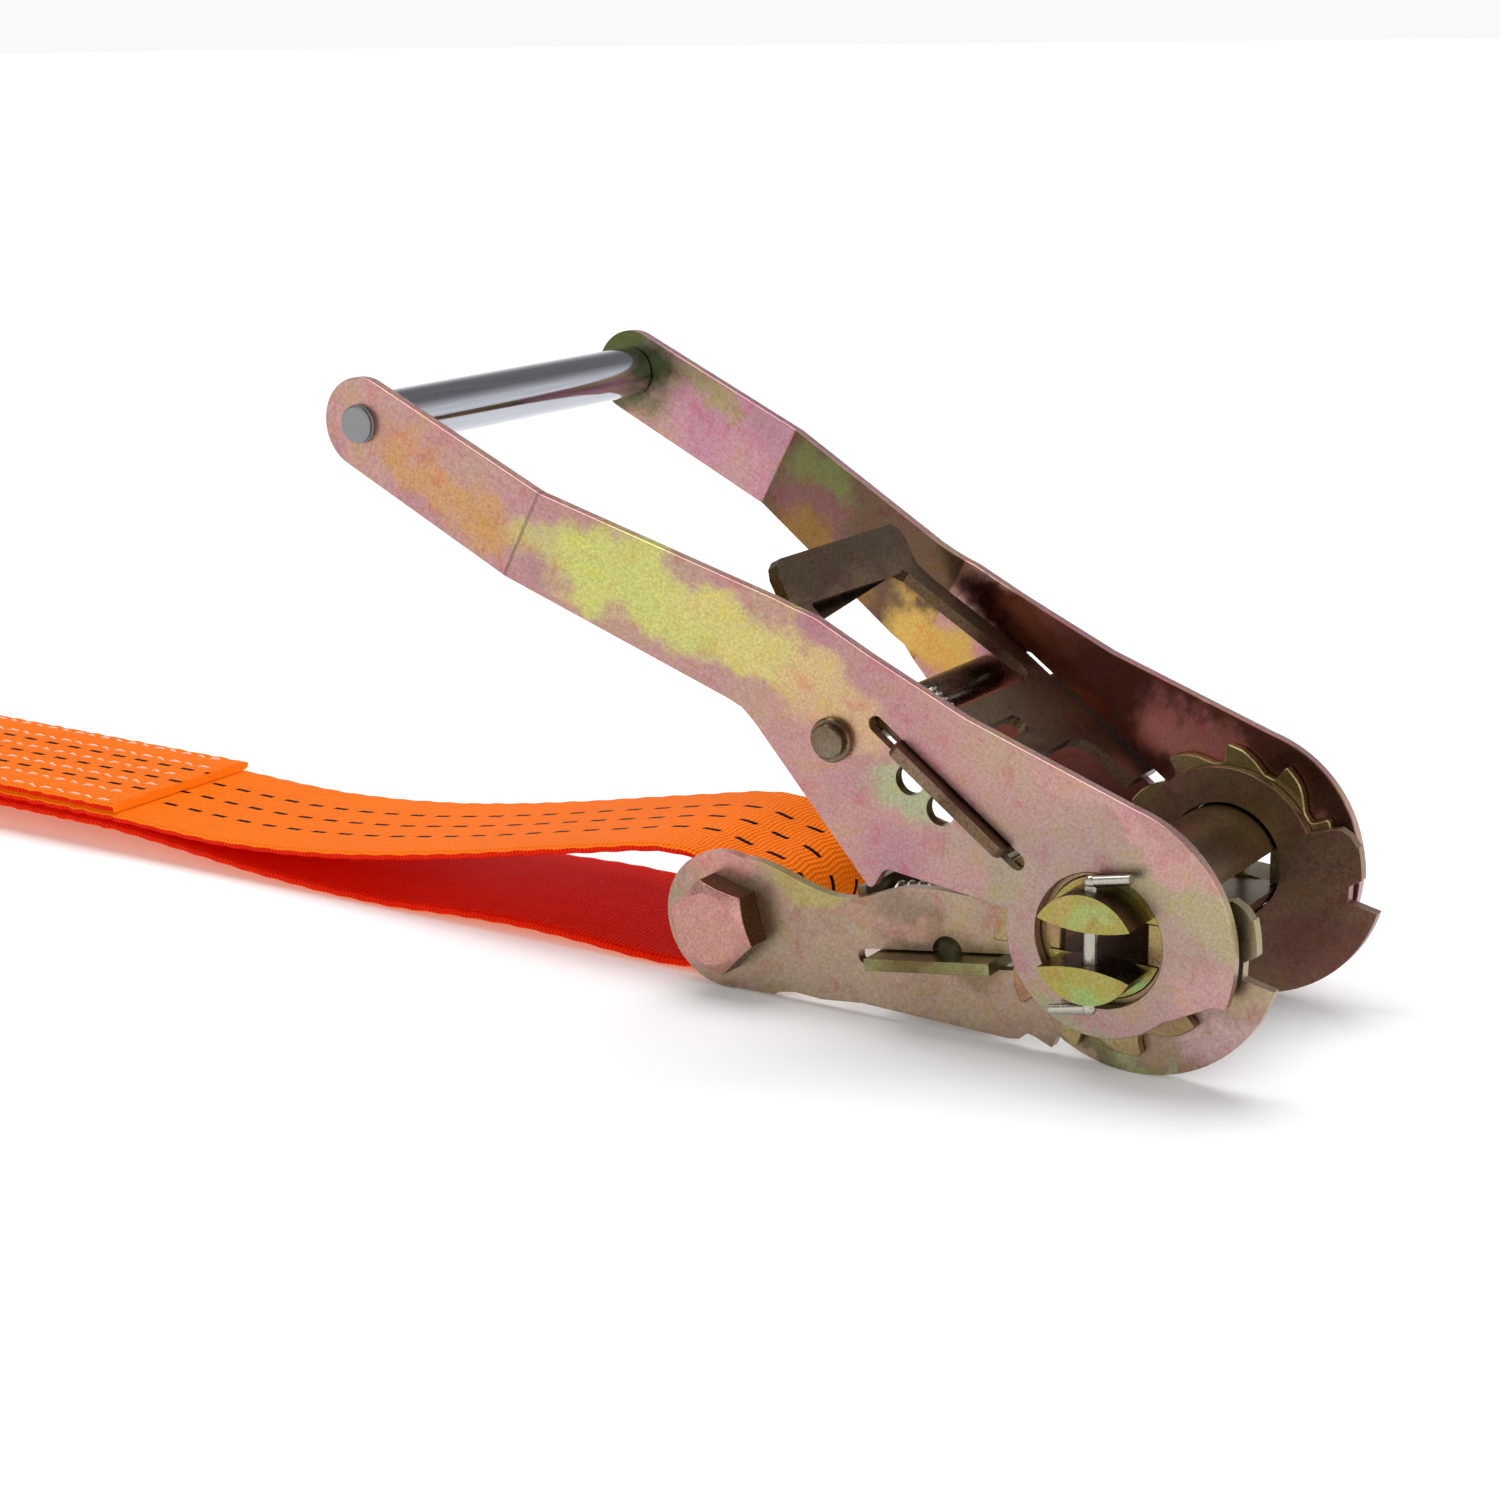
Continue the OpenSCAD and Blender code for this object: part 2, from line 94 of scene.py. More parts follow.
def new_material(name):
    """An empty material and its node tree."""
    material = bpy.data.materials.new(name)
    material.use_nodes = True
    material.node_tree.nodes.clear()
    return material, material.node_tree


FLOOR = -0.0284         # the table, as far below the spool's axis as the tool's lowest edge
bpy.ops.mesh.primitive_plane_add(size=40, location=(0, 0, FLOOR))
table = bpy.context.object
table.name = "table"
# matt white paint: it takes soft shadows and gives no reflection
table_paint, t = new_material("matt white table")
place = add(t, "ShaderNodeTexCoord").outputs["Object"]
reach = add(t, "ShaderNodeVectorMath", {"operation": "LENGTH"}, in0=place).outputs["Value"]
glow = add(t, "ShaderNodeMapRange", {"interpolation_type": "SMOOTHSTEP"}, Value=reach,
           From_Min=0.3, From_Max=1.8, To_Min=0.12, To_Max=0.8)
shade = add(t, "ShaderNodeBsdfDiffuse", Color=linear("f4f4f4"))
backlit = add(t, "ShaderNodeEmission", Color=linear("ffffff"), Strength=glow)
both = add(t, "ShaderNodeAddShader", in0=shade, in1=backlit)
add(t, "ShaderNodeOutputMaterial", Surface=both)
table.data.materials.append(table_paint)

# The room is white near the table and dim overhead, which gives the bright metal its stripes.
world = bpy.data.worlds.new("studio")
bpy.context.scene.world = world
world.use_nodes = True
t = world.node_tree
height = add(t, "ShaderNodeSeparateXYZ",
             Vector=add(t, "ShaderNodeTexCoord").outputs["Generated"]).outputs["Z"]
wall = add(t, "ShaderNodeMapRange", {"interpolation_type": "SMOOTHSTEP"}, Value=height,
           From_Min=0.12, From_Max=0.6, To_Min=0.95, To_Max=0.22)
sky = t.nodes["Background"]
sky.inputs["Color"].default_value = linear("ffffff")
t.links.new(wall.outputs[0], sky.inputs["Strength"])


# ---------------------------------------------------------------- studio lights
# Three soft boxes: a broad one in front for the plates' faces, one above for their edges, and
# a small one on the right for the heels and the wheels.
def soft_box(name, place, aim, width, height, power):
    """One rectangular studio light, facing the point aim."""
    data = bpy.data.lights.new(name, "AREA")
    data.shape = "RECTANGLE"
    data.size, data.size_y, data.energy = width, height, power
    box = bpy.data.objects.new(name, data)
    box.location = place
    way = [b - a for a, b in zip(place, aim)]
    box.rotation_euler = Vector(way).to_track_quat("-Z", "Y").to_euler()
    bpy.context.collection.objects.link(box)


soft_box("soft_box_above", (-0.3, 0.15, 0.9), (-0.2, 0, 0), 1.1, 0.6, 9)
soft_box("soft_box_front", (-0.2, -1.3, 0.6), (-0.05, 0, 0.02), 2.4, 1.2, 5)
soft_box("soft_box_right", (1.0, 0.1, 0.5), (0, 0, 0.02), 0.5, 0.6, 2.4)


# ---------------------------------------------------------------- lever plates
# Two arms blanked from 2.6 mm mild steel, joggled outwards near the grip, then zinc plated and
# dipped in yellow chromate. Barrelling has eased their edges.
def zinc_plate(name, turn, tones, patches=(), near_face=(), gloss=0.34, coarse=0.0):
    """Yellow chromate over satin zinc: rose, straw and green patches on a fine metal grain.

    Places are in millimetres in the piece's own plane, which is turned by turn degrees. tones
    are the film's colours from thin to thick, darkened on some pieces as painted shade. A patch
    is a spot (x, z, half width, half height, colour, strength) or a band (from x, to x,
    softness, colour, strength), of the film's own colour or of painted shade. Those of
    near_face show only on faces that look to the near side.
    """
    m, t = new_material(name)
    own = add(t, "ShaderNodeMapping", Vector=add(t, "ShaderNodeTexCoord").outputs["Object"])
    own.inputs["Rotation"].default_value = (0, math.radians(-turn), 0)
    own.inputs["Scale"].default_value = (1000, 1000, 1000)
    # the patches' edges wander a few millimetres either way, in waves 13 mm long and less
    drift = add(t, "ShaderNodeTexNoise", Vector=own, Scale=0.075, Detail=4.0, Roughness=0.6)
    off = add(t, "ShaderNodeVectorMath", {"operation": "SUBTRACT"}, in0=drift.outputs["Color"],
              in1=(0.5, 0.5, 0.5))
    off = add(t, "ShaderNodeVectorMath", {"operation": "SCALE"}, in0=off, Scale=26.0)
    wander = add(t, "ShaderNodeVectorMath", {"operation": "ADD"}, in0=own, in1=off)
    # the film's thickness changes in patches about 25 mm across
    film = add(t, "ShaderNodeTexNoise", Vector=own, Scale=0.04, Detail=5.0, Roughness=0.55)
    ramp = add(t, "ShaderNodeValToRGB", Fac=film)
    ramp.color_ramp.interpolation = "B_SPLINE"
    stops = ramp.color_ramp.elements
    while len(stops) < len(tones):
        stops.new(0.5)
    for i, tone in enumerate(tones):
        stops[i].position = 0.3 + 0.4 * i / (len(tones) - 1)
        stops[i].color = linear(tone)
    colour = ramp.outputs["Color"]

    # mixes in one patch, of the film's own colour or of painted shade
    def stain_or_shade(colour, where, hex_code, strength, weight):
        amount = add(t, "ShaderNodeMapRange", {"interpolation_type": "SMOOTHSTEP"}, Value=where,
                     From_Min=0.0, From_Max=0.55, To_Min=0.0, To_Max=strength)
        if weight is not None:
            amount = add(t, "ShaderNodeMath", {"operation": "MULTIPLY"}, in0=amount, in1=weight)
        mix = add(t, "ShaderNodeMix", {"data_type": "RGBA"}, in0=amount, in6=colour,
                  in7=linear(hex_code))
        return mix.outputs[2]

    def spot(colour, weight, x, z, rx, rz, hex_code, strength):
        near = add(t, "ShaderNodeMapping", Vector=wander)
        near.inputs["Scale"].default_value = (1 / rx, 0, 1 / rz)
        near.inputs["Location"].default_value = (-x / rx, 0, -z / rz)
        ball = add(t, "ShaderNodeTexGradient", {"gradient_type": "SPHERICAL"}, Vector=near)
        return stain_or_shade(colour, ball.outputs["Fac"], hex_code, strength, weight)

    def band(colour, weight, x0, x1, soft, hex_code, strength):
        # a band with a sharp edge marks a bend, or painted shade beyond one, so it is straight
        x = add(t, "ShaderNodeSeparateXYZ", Vector=own if soft < 1 else wander)
        low = add(t, "ShaderNodeMapRange", {"interpolation_type": "SMOOTHSTEP"}, Value=x,
                  From_Min=x0 - soft, From_Max=x0 + soft)
        high = add(t, "ShaderNodeMapRange", {"interpolation_type": "SMOOTHSTEP"}, Value=x,
                   From_Min=x1 - soft, From_Max=x1 + soft, To_Min=1.0, To_Max=0.0)
        between = add(t, "ShaderNodeMath", {"operation": "MULTIPLY"}, in0=low, in1=high)
        return stain_or_shade(colour, between, hex_code, strength, weight)

    for place in patches:
        colour = (spot if len(place) == 6 else band)(colour, None, *place)
    if near_face:
        looks = add(t, "ShaderNodeSeparateXYZ",
                    Vector=add(t, "ShaderNodeTexCoord").outputs["Normal"]).outputs["Y"]
        nearward = add(t, "ShaderNodeMapRange", Value=looks, From_Min=0.0, From_Max=-0.3,
                       To_Min=0.0, To_Max=1.0)
        for place in near_face:
            colour = (spot if len(place) == 6 else band)(colour, nearward, *place)
    # clouds of straw and of rose, 6 mm across and less, where drops of the dip dried
    clouds = add(t, "ShaderNodeTexNoise", Vector=own, Scale=0.17, Detail=5.0, Roughness=0.62,
                 Distortion=0.6)
    for start, stop, hex_code in ((0.52, 0.68, "b9b67c"), (0.47, 0.33, "b87f8e")):
        amount = add(t, "ShaderNodeMapRange", Value=clouds, From_Min=start, From_Max=stop,
                     To_Min=0.0, To_Max=0.6)
        tinge = add(t, "ShaderNodeMix", {"data_type": "RGBA", "blend_type": "SOFT_LIGHT"},
                    in0=amount, in6=colour, in7=linear(hex_code))
        colour = tinge.outputs[2]
    # grain of the rolled sheet, about 0.7 mm, which darkens, dulls and roughens it
    grain = add(t, "ShaderNodeTexNoise", Vector=own, Scale=1.5, Detail=4.0, Roughness=0.8)
    speck = add(t, "ShaderNodeMapRange", Value=grain, From_Min=0.34, From_Max=0.64,
                To_Min=0.66 - coarse, To_Max=1.06 + coarse * 0.4)
    grey = add(t, "ShaderNodeCombineColor", Red=speck, Green=speck, Blue=speck)
    toned = add(t, "ShaderNodeMix", {"data_type": "RGBA", "blend_type": "MULTIPLY"}, in0=1.0,
                in6=colour, in7=grey)
    rough = add(t, "ShaderNodeMapRange", Value=grain, From_Min=0.3, From_Max=0.7,
                To_Min=gloss - 0.07, To_Max=gloss + 0.1)
    bump = add(t, "ShaderNodeBump", Strength=0.12, Distance=0.0001, Height=grain)
    metal = add(t, "ShaderNodeBsdfPrincipled", Base_Color=toned.outputs[2], Roughness=rough,
                Metallic=1.0, Normal=bump)
    add(t, "ShaderNodeOutputMaterial", Surface=metal)
    return m


def only(piece):
    """Selects one piece and makes it the active one."""
    bpy.ops.object.select_all(action="DESELECT")
    piece.select_set(True)
    bpy.context.view_layer.objects.active = piece


def copy_of(node, ending, whole_faces):
    """A copy of a frame piece with its triangles merged, and if asked joined to whole faces."""
    piece = bpy.data.objects.new(node + ending, nodes[node].data.copy())
    bpy.context.collection.objects.link(piece)
    only(piece)
    bpy.ops.object.mode_set(mode="EDIT")
    bpy.ops.mesh.select_all(action="SELECT")
    bpy.ops.mesh.remove_doubles(threshold=0.000004)
    if whole_faces:
        bpy.ops.mesh.dissolve_limited(angle_limit=math.radians(0.6))
    bpy.ops.object.mode_set(mode="OBJECT")
    return piece


BODY_OF = {n: body for body, names in frame["record"]["behaviour"]["bodies"].items()
           for n in names}


def stand_in(piece, node, material):
    """Puts a finished copy in the place of its frame piece."""
    piece.data.materials.clear()
    piece.data.materials.append(material)
    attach(piece, BODY_OF[node])
    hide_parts(node)


def tumbled(node, ease, material):
    """A copy of a frame piece with its edges eased by ease millimetres, as after barrelling."""
    piece = copy_of(node, "_tumbled", whole_faces=True)
    bevel = piece.modifiers.new("eased edge", "BEVEL")
    bevel.width = ease / 1000
    bevel.segments = 2
    bevel.limit_method = "ANGLE"
    bevel.angle_limit = math.radians(32)
    bevel.miter_outer = "MITER_ARC"
    bpy.ops.object.modifier_apply(modifier=bevel.name)
    bpy.ops.object.shade_smooth_by_angle(angle=math.radians(14))
    # the plane faces stay truly flat, and only the eased edges and round walls are smooth
    for face in piece.data.polygons:
        if len(face.vertices) > 4 or face.area > 0.0004:
            face.use_smooth = False
    split = piece.modifiers.new("faces with holes in triangles", "TRIANGULATE")
    split.ngon_method = "CLIP"
    split.min_vertices = 5
    bpy.ops.object.modifier_apply(modifier=split.name)
    stand_in(piece, node, material)


LEVER_RISE = 28.5       # degrees that the handle stands above the table
# mostly rose, with a long straw patch and green near the hole: the near plate's outer face
near_lever = zinc_plate(
    "yellow zinc on the near lever plate", LEVER_RISE, ["b2868e", "be9090", "c49a90", "b8a08a"],
    patches=[(-165, 2, 30, 7, "c99a6c", 0.85), (-120, 5, 34, 11, "cdcd7c", 1.0),
             (-94, 9, 26, 8, "d6c981", 0.9), (-72, 8, 18, 10, "d5b487", 0.8),
             (-46, 1, 17, 8, "a9b38d", 0.8), (-4, 2, 40, 30, "a9968a", 0.75),
             (12, 19, 22, 9, "b3a886", 0.8), (5, -22, 18, 9, "a0a083", 0.85),
             (-24, -4, 9, 9, "a79c84", 0.8), (-6, 26, 34, 4, "cb9f9a", 0.8),
             (25, 2, 6, 12, "c59c9a", 0.7), (-145.3, -144.7, 0.3, "75655e", 0.6)])
tumbled("handle_plate_near", 0.3, near_lever)
# stronger colours on the far plate's inner face, partly the film's own colours and partly
# painted shade: its dark olive, bronze and near-black patches, most of them below the bend, are
# painted shade on this sheltered face
far_lever = zinc_plate(
    "yellow zinc on the far lever plate", LEVER_RISE, ["b08a92", "c890a2", "c59a9a", "c0a288"],
    near_face=[(-196, 2, 20, 22, "59603f", 1.0), (-172, 9, 16, 6, "a9a56c", 0.7),
               (-145, -86, 0.8, "6a5440", 0.95), (-132, 10, 16, 8, "7c8a52", 0.6),
               (-128, 0, 16, 8, "8a5f62", 0.7), (-120, -6, 22, 8, "94703f", 0.9),
               (-84, -3, 18, 8, "d6b162", 1.0), (-66, 14, 24, 8, "3c1d19", 1.0),
               (-70, 8, 8, "6b3d2c", 0.9), (-50, 6, 16, 7, "8a5034", 0.8),
               (-22, 18, 17, 10, "d28a86", 1.0), (8, 24, 14, 7, "5a3c2e", 0.9)])
tumbled("handle_plate_far", 0.3, far_lever)

# ---------------------------------------------------------------- frame plates
# Two cheeks blanked from mild steel, each with a pawl slot, a ring for the spool and a round
# heel. The bolt's sleeve holds them apart. They are plated as the lever plates are.
FRAME_RISE = 8.0        # degrees that the frame is tipped from the table
# browner than the lever, with rose at the bolt end and the heel. Its dark patches along the
# lower edge and round the spool's ring are painted shade.
near_cheek = zinc_plate(
    "yellow zinc on the near cheek", FRAME_RISE, ["8d7b68", "ab917f", "b29d87", "a39b7c"],
    patches=[(-92, 9, 24, 9, "927d70", 0.9), (-94, -9, 20, 10, "cf978f", 0.9),
             (-72, -9, 18, 9, "b3a56c", 0.9), (-52, 3, 20, 6, "c49f90", 0.9),
             (-36, 6, 14, 6, "a6a078", 0.8), (-48, -14, 18, 4, "b58f80", 0.8),
             (-30, -14, 14, 6, "8d7a5c", 0.8), (4, -26, 20, 5, "7d7358", 0.9),
             (28, -14, 14, 10, "bd9f9c", 1.0), (14, -27, 12, 5, "aeb08a", 0.9),
             (0, 0, 24, 22, "6f6650", 0.8)])
tumbled("frame_plate_near", 0.3, near_cheek)
# the far cheek is seen from inside, and its colours are painted darker all over as painted
# shade between the cheeks
far_cheek = zinc_plate(
    "yellow zinc on the far cheek", FRAME_RISE, ["7a6453", "977664", "a3826f", "908060"],
    patches=[(26, -14, 18, 12, "8f655c", 1.0), (-92, 0, 20, 18, "a8857c", 0.9)])
tumbled("frame_plate_far", 0.3, far_cheek)

# ---------------------------------------------------------------- strap bolt, nut, sleeve, seat
# A zinc plated hexagon bolt and nut hold the cheeks on a plain tube that the strap turns round.
# The spring seat is a flat bar that fills the gap between the cheeks.
# a rose face; the flats and shank are painted dark bronze, which is painted shade on the sides
# that turn away from the light
bolt_zinc = zinc_plate("yellow zinc on the bolt", FRAME_RISE,
                       ["3f2a1b", "5a3f2b", "6e5238", "54432c"],
                       near_face=[(-92, 0, 70, 70, "c4938a", 1.0),
                                  (-86, 4, 8, 7, "cda48f", 0.8),
                                  (-98, -4, 6, 6, "c08a90", 0.6)], gloss=0.24)
tumbled("strap_bolt", 0.1, bolt_zinc)
# olive and brown, as on small pieces that are plated in a barrel
dark_zinc = zinc_plate("yellow zinc, dark and olive", FRAME_RISE,
                       ["5b4a36", "75624a", "6c6648", "86705a"], gloss=0.33)
for node in ("strap_bolt_nut", "bolt_sleeve", "spring_seat"):
    tumbled(node, 0.25, dark_zinc)

# ---------------------------------------------------------------- pawls
# Thick blanked plates that slide in slots. The drive pawl has a window and a bent finger lip,
# and the lock pawl is a plain bar with an upright tab. Both are zinc plated.
PAWL_RISE = 36.7        # degrees that the drive pawl's plate stands above the table
# bronze brown, with the coarse grain of thicker plate. The dark patch 104 mm out, on the bent
# lip, is painted shade on the lip's downward face.
pawl_zinc = zinc_plate("yellow zinc on the pawls", PAWL_RISE,
                       ["4d3a2a", "6b5544", "7d6653", "5f5a3c"],
                       patches=[(-52, 0, 12, 12, "8a7560", 0.8),
                                (-104, 0, 12, 30, "54452f", 0.8)], coarse=0.2)
tumbled("drive_pawl", 0.35, pawl_zinc)
# olive green over bronze
lock_zinc = zinc_plate("yellow zinc on the lock pawl", FRAME_RISE,
                       ["6b5a3e", "8d8a5c", "9a9a72", "86705a"])
tumbled("lock_pawl", 0.35, lock_zinc)

# ---------------------------------------------------------------- spool and wheels
# Two half-round steel bars, with a slot between them for the webbing, and a stamped toothed
# wheel keyed on near each end. All are zinc plated.
# bronze bars, whose cut ends are straw and bright green
spool_zinc = zinc_plate("yellow zinc on the spool", 0.0,
                        ["5f4d34", "7a6650", "6b5a3c", "85755a"],
                        near_face=[(0, 0, 60, 60, "a69c58", 1.0), (4, 8, 8, 5, "a3b070", 0.9),
                                   (3, -9, 8, 5, "93b070", 0.9),
                                   (-6, 10, 7, 5, "b59a64", 0.8)], gloss=0.3)
tumbled("spool_bar_upper", 0.3, spool_zinc)
tumbled("spool_bar_lower", 0.3, spool_zinc)
# straw and olive wheels
wheel_zinc = zinc_plate("yellow zinc on the wheels", 0.0,
                        ["857350", "a3866a", "ad9d6b", "908a5c"], gloss=0.3)
tumbled("ratchet_wheel_near", 0.3, wheel_zinc)
tumbled("ratchet_wheel_far", 0.3, wheel_zinc)


# ---------------------------------------------------------------- grip, rods and spool pins
# The grip is a loose tube of bright drawn steel. The rods are riveted over at both ends, and
# each spool pin is a piece of wire that is bent over.
def bright_steel(name, hex_code, roughness):
    """Drawn steel: a mirror with faint lines, 0.4 mm apart and 17 mm long, along the Y axis."""
    m, t = new_material(name)
    lengthwise = add(t, "ShaderNodeMapping",
                     Vector=add(t, "ShaderNodeTexCoord").outputs["Object"])
    lengthwise.inputs["Scale"].default_value = (2600, 60, 2600)
    drawn = add(t, "ShaderNodeTexNoise", Vector=lengthwise, Scale=1.0, Detail=3.0)
    rough = add(t, "ShaderNodeMapRange", Value=drawn, From_Min=0.3, From_Max=0.7,
                To_Min=roughness * 0.8, To_Max=roughness * 1.4)
    tint = add(t, "ShaderNodeMapRange", Value=drawn, From_Min=0.3, From_Max=0.7, To_Min=0.85,
               To_Max=1.0)
    grey = add(t, "ShaderNodeCombineColor", Red=tint, Green=tint, Blue=tint)
    colour = add(t, "ShaderNodeMix", {"data_type": "RGBA", "blend_type": "MULTIPLY"}, in0=1.0,
                 in6=linear(hex_code), in7=grey)
    metal = add(t, "ShaderNodeBsdfPrincipled", Base_Color=colour.outputs[2], Metallic=1.0,
                Roughness=rough)
    add(t, "ShaderNodeOutputMaterial", Surface=metal)
    return m


def finish_with(node, material):
    """Gives a frame piece its own finish."""
    slots = nodes[node].data.materials
    slots.clear()
    slots.append(material)


grip_steel = bright_steel("bright drawn steel", "b9bcc4", 0.1)
rivet_steel = bright_steel("grey upset steel", "8d8f90", 0.4)
wire_steel = bright_steel("bright spring wire", "b4b0a4", 0.22)
finish_with("grip_tube", grip_steel)
finish_with("grip_rod", rivet_steel)
finish_with("spacer_rod", zinc_plate("yellow zinc on the spacer rod", LEVER_RISE,
                                     ["5b4632", "7d6a55", "8a7d70", "6b5a44"], gloss=0.25))
finish_with("spool_pin_near", wire_steel)
finish_with("spool_pin_far", wire_steel)


# ---------------------------------------------------------------- springs
# Coils of bright spring wire. Each pushes its pawl toward the teeth, and shortens toward its
# fixed end as the pawl is pulled back; the copies here keep their length and move with their
# bodies.
def wound(node):
    """A smooth shaded copy of a coil spring, put in its frame piece's place."""
    coil = copy_of(node, "_wound", whole_faces=False)
    bpy.ops.object.shade_smooth_by_angle(angle=math.radians(60))
    stand_in(coil, node, wire_steel)
    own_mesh(coil)


tilt, pull = math.radians(FRAME_RISE), math.radians(PAWL_RISE)
wound("lock_springs")
wound("drive_spring")

# ---------------------------------------------------------------- strap
# One length of woven polyester webbing, 50 mm wide: it turns round the bolt sleeve, lies back
# on itself, and is sewn in three layers with a small eye at its end.
WIDTH = 50.0
HALF_PLY = 1.1          # a little under half of the 2.4 mm ply, so that sewn plies stay apart
BOLT_AT = 92            # from the spool's axis to the strap bolt
BOLT = (-BOLT_AT * math.cos(tilt), -BOLT_AT * math.sin(tilt))
SEWN_FROM, SEWN_TO = -281, -388         # the sewn stretch, in x
SEWN_LIFT, END_LIFT = 5.6, 6.74         # how far it stands off the table at its two ends
LOW, MID, TOP = 1.25, 3.71, 6.17        # middle lines of its three plies above that


def up(x, h):
    """A place on the strap's side view: x, and h millimetres above the table."""
    return (x, 1000 * FLOOR + h)


def arc(centre, r, start, stop, count):
    """Places on a circular arc, from start to stop degrees."""
    turns = [math.radians(start + (stop - start) * i / count) for i in range(count + 1)]
    return [(centre[0] + r * math.cos(a), centre[1] + r * math.sin(a)) for a in turns]


under = [up(-104, 1.3), up(-120, 1.5), up(-136, 2.6), up(-152, 3.1), up(-170, 2.6),
         up(-190, 1.4), up(-212, 1.6), up(-234, 2.8), up(-256, 4.8),
         up(SEWN_FROM, LOW + SEWN_LIFT)]
over = [up(-101, 27.6), up(-108, 27.9), up(-116, 27.2), up(-130, 24.4), up(-146, 21.4),
        up(-166, 17.4), up(-186, 13.9), up(-206, 11.0), up(-226, 9.1), up(-246, 8.2),
        up(-262, 8.5)]
turn_round = arc(BOLT, 9.3, 112, -108, 26)
eye = arc(up(-412, MID + END_LIFT), 9.2, 62, 298, 20)
route = ([up(SEWN_FROM, TOP + SEWN_LIFT), up(SEWN_TO, TOP + END_LIFT)] + eye
         + [up(SEWN_TO, LOW + END_LIFT)] + under[::-1] + turn_round[::-1] + over
         + [up(SEWN_FROM, MID + SEWN_LIFT), up(SEWN_TO + 6, MID + END_LIFT)])


def smooth_route(points, step, ease=7):
    """The route as places step apart, each an average of its ease neighbours either way."""
    p = np.array(points)
    run = np.concatenate([[0], np.cumsum(np.linalg.norm(np.diff(p, axis=0), axis=1))])
    s = np.arange(0, run[-1], step)
    q = np.stack([np.interp(s, run, p[:, i]) for i in (0, 1)], 1)
    padded = np.concatenate([2 * q[:1] - q[ease:0:-1], q, 2 * q[-1:] - q[-2:-ease - 2:-1]])
    weights = np.hanning(2 * ease + 3)[1:-1]
    weights /= weights.sum()
    return np.stack([np.convolve(padded[:, i], weights, "valid") for i in (0, 1)], 1)


line = smooth_route(route, 1.3)
along = np.concatenate([[0], np.cumsum(np.linalg.norm(np.diff(line, axis=0), axis=1))])
ahead = np.gradient(line, axis=0)
ahead /= np.linalg.norm(ahead, axis=1)[:, None]
square = np.stack([ahead[:, 1], -ahead[:, 0]], 1)
SEAM_ROWS = (-22, -14.5, -5, 5, 14.5, 22)       # rows of stitches, across the strap
SEAM_PITCH = 5.2                                # and the length of one stitch with its gap
ACROSS = 50                                     # faces over the width
SELVEDGE = 1.4                                  # the strap thins to its edges within this
# cross-section: outer face, far edge, inner face, near edge. Each place is its y, its height
# over the middle line, its U on the weave (0 to 1 outside, 2 to 3 inside), and outer or not.
section = []
for outside in (True, False):
    way = 1 if outside else -1
    for i in range(ACROSS + 1):
        y = way * (-WIDTH / 2 + WIDTH * i / ACROSS)
        full = math.sqrt(min(1.0, (WIDTH / 2 - abs(y)) / SELVEDGE))
        section.append((y, way * HALF_PLY * (0.4 + 0.6 * full),
                        0.5 + y / WIDTH + (0 if outside else 2), outside))
verts, faces, uvs = [], [], []
count = len(section)
for p, q, s in zip(line, square, along):
    for y, h, u, outside in section:
        edge = (abs(y) / (WIDTH / 2)) ** 6
        ripple = 0.12 * math.sin(s * 0.8 + y * 0.3) * edge
        if SEWN_TO < p[0] < SEWN_FROM:
            # pulled down along each row of stitches, and puckered at the selvedges
            stitch = 2 * math.pi * p[0] / SEAM_PITCH
            dent = sum(math.exp(-((y - row) / 1.3) ** 2) for row in SEAM_ROWS)
            if outside:
                h -= 0.34 * dent * (0.75 + 0.25 * math.cos(stitch))
            y *= 1 + 0.012 * math.sin(stitch) * edge
        y *= 1 - 0.004 * (0.5 + 0.5 * math.sin(s * 2.9)) * edge
        v = p + q * (h + ripple)
        verts.append((v[0] / 1000, y / 1000, v[1] / 1000))
for i in range(len(line) - 1):
    for j in range(count):
        k = (j + 1) % count
        faces.append((i * count + j, i * count + k, (i + 1) * count + k, (i + 1) * count + j))
        u0, u1 = section[j][2], section[k][2]
        if abs(u1 - u0) > 1:
            u1 = u0         # the narrow face at a selvedge belongs to one side
        v0, v1 = along[i] / WIDTH, along[i + 1] / WIDTH
        uvs += [(u0, v0), (u1, v0), (u1, v1), (u0, v1)]
faces.append(tuple(range(count - 1, -1, -1)))
faces.append(tuple((len(line) - 1) * count + j for j in range(count)))
uvs += [(0.1, 0.1)] * (2 * count)       # the two cut ends, clear of the marker threads
webbing = bpy.data.meshes.new("strap_webbing")
webbing.from_pydata(verts, [], faces)
layer = webbing.uv_layers.new(name="weave")
layer.data.foreach_set("uv", [c for uv in uvs for c in uv])
for face in webbing.polygons:
    face.use_smooth = len(face.vertices) == 4
strap = bpy.data.objects.new("strap_webbing", webbing)
bpy.context.collection.objects.link(strap)


def face_outwards(piece):
    """Turns the faces of a closed piece outwards."""
    only(piece)
    bpy.ops.object.mode_set(mode="EDIT")
    bpy.ops.mesh.select_all(action="SELECT")
    bpy.ops.mesh.normals_make_consistent(inside=False)
    bpy.ops.object.mode_set(mode="OBJECT")


face_outwards(strap)

# dull ribbed cloth in safety orange, with broken black marker lines. The inner face is a deeper
# red, which is painted shade inside the loop.
web, t = new_material("woven polyester webbing")
uv = add(t, "ShaderNodeUVMap", {"uv_map": "weave"})
places = add(t, "ShaderNodeSeparateXYZ", Vector=uv)
U, V = places.outputs["X"], places.outputs["Y"]
fuzz = add(t, "ShaderNodeTexNoise", Vector=uv, Scale=60.0, Detail=3.0)
